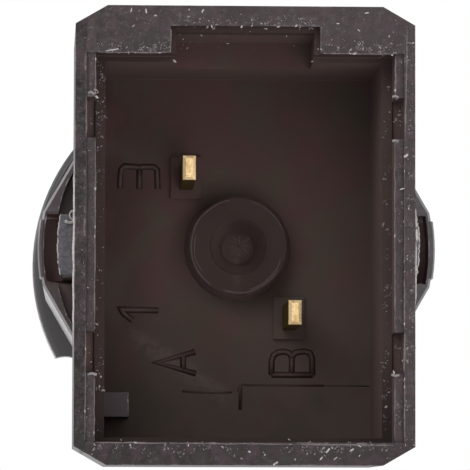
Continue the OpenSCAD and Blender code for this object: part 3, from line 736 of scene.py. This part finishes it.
# White beads on the rim's long outer edges, a painted reflection of the flanks' grazing glint; and the
# rim-coloured thread that covers the dark shade line at the step between rim and rib, which is painted
# light; both lie a little below the rim
BELOW_RIM = RIM - 0.02
GLINT_LINES = [
    ((-10.11, 4.2), (-10.11, -6.6), BELOW_RIM, 0.17),
    ((10.08, 1.6), (10.12, 0.4), BELOW_RIM, 0.13),
    ((10.16, 0.4), (10.16, -0.35), BELOW_RIM, 0.24),
    ((10.12, -0.3), (10.08, -4.2), BELOW_RIM, 0.13),
]
# painted light: rim-coloured threads that cover the shade line at the step
STEP_LINES = [
    ((-9.42, 10.78), (-9.42, 8.3), BELOW_RIM, 0.2),
    ((-9.42, 5.55), (-9.42, -5.55), BELOW_RIM, 0.2),
]


def flash_and_glint_threads(name, lines, materials, seed):
    """Ragged threads along edges: flash along the mould's parting edges, painted glints, and rim-coloured
    covers over shade lines.
    """
    rng = random.Random(seed)
    mesh = bmesh.new()
    for start, end, depth, width in lines:
        add_burr_and_glint(mesh, start, end, depth, width, rng)
    make_piece(name, mesh, materials)


# Larger flecks that the photograph shows: x, up, depth, size
NAMED_FLECKS = [
    (-4.17, 10.56, LINING, 0.2), (4.08, 10.59, LINING, 0.16), (-6.79, 13.29, RIM, 0.17),
    (-5.35, 12.99, RIM, 0.17), (-6.67, 12.35, RIM, 0.15), (-2.55, 13.26, RIM, 0.14),
    (-2.02, 12.35, RIM, 0.16), (-0.25, 12.35, RIM, 0.17), (1.93, 12.37, RIM, 0.13),
    (2.99, 12.43, RIM, 0.12), (5.46, 12.58, RIM, 0.14), (7.17, 13.23, RIM, 0.16),
    (6.7, 12.2, RIM, 0.15), (8.52, 11.84, RIM, 0.15), (6.23, 11.02, RIM, 0.17),
    (6.49, 10.81, RIM, 0.19), (8.7, 10.73, RIM, 0.14), (9.94, 11.46, RIM, 0.15),
    (4.46, 11.05, RIM, 0.13), (9.29, 2.77, RIM, 0.16), (9.67, 1.6, RIM, 0.14),
    (-8.49, -8.35, LINING, 0.2), (-8.55, -8.92, LINING, 0.22), (8.53, -10.08, LINING, 0.22),
    (-3.32, -12.45, RIM, 0.18), (0.28, -12.8, RIM, 0.15), (1.19, -12.98, RIM, 0.15),
    (2.75, -12.04, LINING, 0.16), (4.87, -12.77, RIM, 0.24), (4.52, -13.19, RIM, 0.17),
    (5.34, -13.19, RIM, 0.15), (6.78, -12.45, RIM, 0.15), (6.76, -13.03, RIM, 0.17),
    (6.31, -12.69, RIM, 0.2), (9.99, -12.39, RIM, 0.13), (-6.74, -12.44, RIM, 0.17),
    (-7.26, -12.1, LINING, 0.15), (-8.8, 8.1, RIM, 0.22), (8.8, -8.1, RIM, 0.2),
    (9.42, -8.5, RIM, 0.18),
]

# Streaks smeared on the rim: line of (x, up) points, half width
STREAKS = [
    ([(-5.93, 13.38), (-5.9, 13.12)], 0.05), ([(9.62, 4.84), (9.52, 4.72), (9.4, 4.66)], 0.08),
    ([(1.95, -13.4), (1.68, -13.58)], 0.06), ([(-8.23, 10.87), (-7.86, 10.93), (-7.53, 10.99)], 0.05),
    ([(-2.5, 13.38), (-2.62, 13.2)], 0.05), ([(5.0, -12.6), (4.8, -12.85)], 0.06),
]

# Fields of small dust: count, x range, up range, depth, size range; and the share of grey in them
FIELD_GREY = 0.85
DUST_FIELDS = [
    (95, (-8.6, 9.0), (10.8, 13.4), RIM, (0.03, 0.11)),
    (45, (-4.4, 4.4), (12.4, 12.9), RIM, (0.03, 0.1)),
    (40, (-8.8, -4.5), (10.8, 11.4), RIM, (0.04, 0.12)),
    (40, (4.5, 9.2), (10.8, 11.6), RIM, (0.04, 0.12)),
    (80, (9.45, 10.0), (-12.5, 12.5), RIM, (0.03, 0.11)),
    (50, (8.9, 9.35), (-12.0, 12.0), RIB_FACE, (0.03, 0.08)),
    (60, (-9.9, -9.45), (-12.5, 12.5), RIM, (0.03, 0.07)),
    (40, (-9.35, -8.95), (-12.0, 11.0), RIB_FACE, (0.04, 0.09)),
    (110, (-9.0, 9.3), (-13.3, -12.3), RIM, (0.03, 0.11)),
    (60, (-8.8, -8.35), (-12.0, 10.5), LINING, (0.03, 0.12)),
    (50, (8.35, 8.8), (-12.0, 10.5), LINING, (0.03, 0.12)),
]


def dust_flecks(seed=5):
    """Dust caught along the inner edges of the rim, thinner on the open faces."""
    rng = random.Random(seed)
    mesh = bmesh.new()
    for x, up, depth, size in NAMED_FLECKS:
        add_fleck(mesh, x, up, depth, size, rng)
    for line, half in STREAKS:
        add_ridge(mesh, line, RIM, [half, half * 0.5], [-0.01, 0.03])
    for count, x_range, up_range, depth, sizes in DUST_FIELDS:
        for _ in range(count):
            size = sizes[0] + (sizes[1] - sizes[0]) * rng.random() ** 2.5
            add_fleck(mesh, rng.uniform(*x_range), rng.uniform(*up_range), depth, size, rng, FIELD_GREY)
    make_piece("dust_flecks", mesh, [DUST_AND_GLINT, GREY_DUST])


# Clumps of dull dust along the inner edges: count, x range, up range, depth; and the share of grey lumps
CLUMP_GREY = 0.25
CLUMPS = [
    (26, (8.35, 8.8), (-12.0, 10.5), LINING),
    (22, (-8.8, -8.35), (4.0, 10.6), LINING),
    (10, (-8.8, -8.4), (-10.5, -2.0), LINING),
    (30, (-8.8, 8.8), (-12.75, -12.35), RIM),
    (22, (9.45, 9.95), (-11.0, 11.0), RIM),
    (14, (-8.7, -4.7), (10.8, 11.2), RIM),
    (14, (4.7, 8.9), (10.8, 11.4), RIM),
    (16, (-4.3, 4.3), (12.35, 12.75), RIM),
    (12, (8.95, 9.35), (-12.0, 12.0), RIB_FACE),
]

# Torn flash across the ends of the ribs at the notches: lines of (x, up) points
TEARS = [
    [(-9.36, 8.36), (-9.15, 8.44), (-9.0, 8.32), (-8.78, 8.46)],
    [(-8.98, 8.6), (-8.84, 8.52), (-8.76, 8.36)], [(8.72, 8.26), (8.92, 8.3), (9.1, 8.22)],
    [(8.66, -8.22), (8.9, -8.3), (9.14, -8.24)], [(-9.3, -8.3), (-9.0, -8.22), (-8.72, -8.3)],
    [(8.72, 5.6), (8.86, 5.66), (9.1, 5.62)],
]


def dust_clumps(seed=21):
    """Loose heaps of dull dust and torn flash: several lumps thrown close together."""
    rng = random.Random(seed)
    mesh = bmesh.new()
    for line in TEARS:
        add_ridge(mesh, line, RIB_FACE, [0.09, 0.05], [-0.03, 0.06], 0)
    for count, x_range, up_range, depth in CLUMPS:
        for _ in range(count):
            x, up = rng.uniform(*x_range), rng.uniform(*up_range)
            for _ in range(rng.randint(2, 6)):
                near_x, near_up = x + rng.gauss(0, 0.09), up + rng.gauss(0, 0.12)
                add_fleck(mesh, near_x, near_up, depth, rng.uniform(0.06, 0.17), rng, CLUMP_GREY)
    make_piece("dust_clumps", mesh, [DULL_DUST, GREY_DUST])


# Share of the faces along a torn end's outer edge that are white
WHITE_EDGE_SHARE = 0.85


def lumps(x, up, seed):
    """Coarse and fine unevenness of torn plastic."""
    coarse = noise.noise(Vector((x * 2.3, up * 2.3, seed)))
    return coarse + 0.6 * noise.noise(Vector((x * 6, up * 6, seed)))


def torn_face(name, turn, seed, rows=26, columns=14):
    """Rough end of one latch tongue: a low, lumpy pad over the tongue's end face and its serrations."""
    rng = random.Random(seed)
    mesh = bmesh.new()
    half = TONGUE_HALF - 0.03
    grid = []
    for i in range(rows + 1):
        up = half * (2 * i / rows - 1)
        outer = math.sqrt((TONGUE_R + SERRATION) ** 2 - up ** 2) + 0.04 * rng.uniform(-1, 1)
        line = []
        for j in range(columns + 1):
            x = SHROUD_SIDE + (outer - SHROUD_SIDE) * j / columns
            edge = min(1.0, 5 * min(j / columns + 0.1, 1 - j / columns), 5 * min(i, rows - i) / rows + 0.1)
            height = (0.03 + 0.06 * max(-0.3, lumps(x, up, seed)) + 0.015 * rng.random()) * edge
            line.append(mesh.verts.new(point(turn * x, up, TONGUE_FACE + height)))
        grid.append(line)
    for a, b in zip(grid, grid[1:]):
        for j in range(columns):
            face = mesh.faces.new((a[j], a[j + 1], b[j + 1], b[j]))
            face.material_index = 1 if j == columns - 1 and rng.random() < WHITE_EDGE_SHARE else 0
    ring = bmesh.ops.extrude_edge_only(mesh, edges=[e for e in mesh.edges if e.is_boundary])
    for vert in ring["geom"]:
        if isinstance(vert, bmesh.types.BMVert):
            vert.co.y = -(TONGUE_FACE - 0.02) * MM
    bmesh.ops.holes_fill(mesh, edges=[e for e in mesh.edges if e.is_boundary])
    make_piece(name, mesh, [TORN, DUST_AND_GLINT])


# The shaving on the left tongue: a thin hook and its thicker foot, as lines of (x, up) points
SHAVING_HOOK = [
    (-10.14, 2.1), (-10.28, 2.07), (-10.38, 1.96), (-10.41, 1.83), (-10.37, 1.68), (-10.27, 1.56),
    (-10.14, 1.5),
]
SHAVING_FOOT = [(-10.7, 1.46), (-10.55, 1.38), (-10.4, 1.35), (-10.26, 1.38), (-10.14, 1.46)]


def shaving():
    """A shaving torn off the left tongue, lying on the tongue's lumpy end."""
    mesh = bmesh.new()
    depth = TONGUE_FACE + 0.04
    add_ridge(mesh, SHAVING_HOOK, depth, [0.055, 0.04], [-0.02, 0.1])
    add_ridge(mesh, SHAVING_FOOT, depth, [0.1, 0.07], [-0.02, 0.14])
    make_piece("tongue_shaving", mesh, [DUST_AND_GLINT])


def gate_scar(seed=4, strokes=9):
    """Torn gate mark on the bottom of the boss's recess: short pale strokes round a dark middle."""
    rng = random.Random(seed)
    mesh = bmesh.new()
    middle = Vector((0.1, 0.15))
    for i in range(strokes):
        angle = math.tau * i / strokes + rng.uniform(-0.2, 0.2)
        out = Vector((math.cos(angle), math.sin(angle)))
        half_way, far = rng.uniform(0.35, 0.5), rng.uniform(0.6, 0.9)
        line = [middle + out * 0.12, middle + out * half_way, middle + out * far]
        line[1] += Vector((out.y, -out.x)) * rng.uniform(-0.08, 0.08)
        add_ridge(mesh, line, RECESS_FLOOR, [0.06, 0.03], [-0.05, rng.uniform(0.02, 0.05)])
    make_piece("gate_scar", mesh, [SCAR])


for mark_name, mark_lines in MARKS.items():
    cavity_mark(mark_name, mark_lines)
shelf_shadows()
boss_rings()
flash_and_glint_threads("flash_and_glint_threads", FLASH_AND_GLINT_LINES, [FLASH_AND_GLINT, DUST_AND_GLINT], 11)
flash_and_glint_threads("edge_glint", GLINT_LINES, [DUST_AND_GLINT, DUST_AND_GLINT], 12)
flash_and_glint_threads("step_shade_cover", STEP_LINES, [RIM_SHADE_COVER, RIM_SHADE_COVER], 13)
dust_flecks()
dust_clumps()
gate_scar()
torn_face("tongue_face_left", -1, 3)
torn_face("tongue_face_right", 1, 8)
shaving()

# The return spring at rest: coil and wire radius, turns, ends along the depth
SPRING_COIL_R = 3.55
SPRING_WIRE_R = 0.3
SPRING_TURNS = 6
SPRING_LOW, SPRING_HIGH = 10.6, 20.5


def coil_height(turn, turns, length, wire_r):
    """Height of the wire after so many turns, with one closed turn at each end."""
    closed = 2.1 * wire_r
    opened = length - 2 * wire_r - 2 * closed
    if turn < 1:
        return wire_r + turn * closed
    if turn > turns - 1:
        return wire_r + closed + opened + (turn - turns + 1) * closed
    return wire_r + closed + opened * (turn - 1) / (turns - 2)


def return_spring(steps=36, sides=12):
    """Round-wire spring at rest; in the switch it flattens towards the socket's floor as the plunger goes
    in.
    """
    mesh = bmesh.new()
    length = SPRING_HIGH - SPRING_LOW
    rows = []
    for i in range(SPRING_TURNS * steps + 1):
        turn = math.tau * i / steps
        base = SPRING_LOW + coil_height(i / steps, SPRING_TURNS, length, SPRING_WIRE_R)
        row = []
        for j in range(sides):
            a = math.tau * j / sides
            r = SPRING_COIL_R + SPRING_WIRE_R * math.cos(a)
            depth = base + SPRING_WIRE_R * math.sin(a)
            row.append(mesh.verts.new(point(r * math.cos(turn), r * math.sin(turn), depth)))
        rows.append(row)
    skin(mesh, rows)
    piece = make_piece("return_spring_wire", mesh, [MATERIALS["spring_steel"]])
    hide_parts("return_spring")
    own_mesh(piece)


return_spring()

# Stage, light and camera; the world's white as it lights the switch and as it is seen
WORLD_LIGHT, WORLD_SEEN = 0.65, 1.0
# Soft lamps: place in metres, side of the square in metres, watts
LAMPS = {
    "key": ((-0.25, -0.45, 0.3), 0.35, 1.3),
    "fill": ((0.4, -0.3, 0.1), 0.35, 1.0),
    "low": ((0.15, -0.5, -0.3), 0.4, 1.2),
    "left": ((-0.5, 0.02, 0.2), 0.25, 0.8),
    "back": ((0.1, 0.35, 0.35), 0.3, 1.2),
    "low_back": ((-0.3, 0.25, -0.25), 0.4, 2.0),
}
# The floor's side in metres, its grey, and its gap below the switch
FLOOR_SIDE = 1.2
FLOOR_GREY = 0.9
FLOOR_GAP = 0.02 * MM


def white_world():
    """White to the camera and in reflections, a plain soft light on everything else."""
    world = bpy.data.worlds.new("studio")
    bpy.context.scene.world = world
    world.use_nodes = True
    tree = world.node_tree
    tree.nodes.clear()
    path = tree.nodes.new("ShaderNodeLightPath")
    seen = path.outputs["Is Camera Ray"]
    for name in ("Is Glossy Ray", "Is Transmission Ray"):
        either = tree.nodes.new("ShaderNodeMath")
        either.operation = "MAXIMUM"
        tree.links.new(seen, either.inputs[0])
        tree.links.new(path.outputs[name], either.inputs[1])
        seen = either.outputs[0]
    strength = tree.nodes.new("ShaderNodeMapRange")
    strength.inputs["To Min"].default_value = WORLD_LIGHT
    strength.inputs["To Max"].default_value = WORLD_SEEN
    tree.links.new(seen, strength.inputs["Value"])
    background = tree.nodes.new("ShaderNodeBackground")
    background.inputs["Color"].default_value = (1, 1, 1, 1)
    tree.links.new(strength.outputs[0], background.inputs["Strength"])
    out = tree.nodes.new("ShaderNodeOutputWorld")
    tree.links.new(background.outputs[0], out.inputs["Surface"])


def soft_lamp(name, at, size, watts):
    """One square soft lamp aimed at the switch."""
    data = bpy.data.lights.new(name, "AREA")
    data.size = size
    data.energy = watts
    lamp = bpy.data.objects.new(name, data)
    bpy.context.scene.collection.objects.link(lamp)
    lamp.location = at
    lamp.rotation_euler = (-Vector(at)).to_track_quat("-Z", "Y").to_euler()


def pale_floor():
    """The surface the switch lies on: seen from above with its shadow, clear from below."""
    bpy.ops.mesh.primitive_plane_add(size=FLOOR_SIDE, location=(0, 0, cad_box[0].z - FLOOR_GAP))
    floor = bpy.context.object
    floor.name = "pale_floor"
    g = Graph("floor_white")
    path = g.add("ShaderNodeLightPath")
    back = g.add("ShaderNodeNewGeometry").outputs["Backfacing"]
    seen = g.product(path.outputs["Is Camera Ray"], g.other(back))
    diffuse = g.add("ShaderNodeBsdfDiffuse", {"Color": (FLOOR_GREY, FLOOR_GREY, FLOOR_GREY, 1)})
    clear = g.add("ShaderNodeBsdfTransparent")
    shown = g.add("ShaderNodeMixShader", {0: seen, 1: clear.outputs[0], 2: diffuse.outputs[0]})
    floor.data.materials.append(g.finish(shown.outputs[0]))


def photo_camera():
    """The camera that took the photograph."""
    data = bpy.data.cameras.new("photo_camera")
    data.sensor_width = SENSOR
    data.lens = FOCAL_PX / PHOTO_PX * SENSOR
    data.clip_start, data.clip_end = 0.01, 20
    camera = bpy.data.objects.new("photo_camera", data)
    bpy.context.scene.collection.objects.link(camera)
    at, aim = Vector(CAMERA_AT) * MM, Vector(CAMERA_AIM) * MM
    camera.location = at
    camera.rotation_mode = "QUATERNION"
    camera.rotation_quaternion = (aim - at).to_track_quat("-Z", "Y") @ Quaternion((0, 0, 1), CAMERA_ROLL)
    bpy.context.scene.camera = camera


white_world()
for lamp_name, (lamp_at, lamp_side, lamp_watts) in LAMPS.items():
    soft_lamp(lamp_name, lamp_at, lamp_side, lamp_watts)
pale_floor()
photo_camera()
bpy.context.scene.view_settings.view_transform = "Standard"
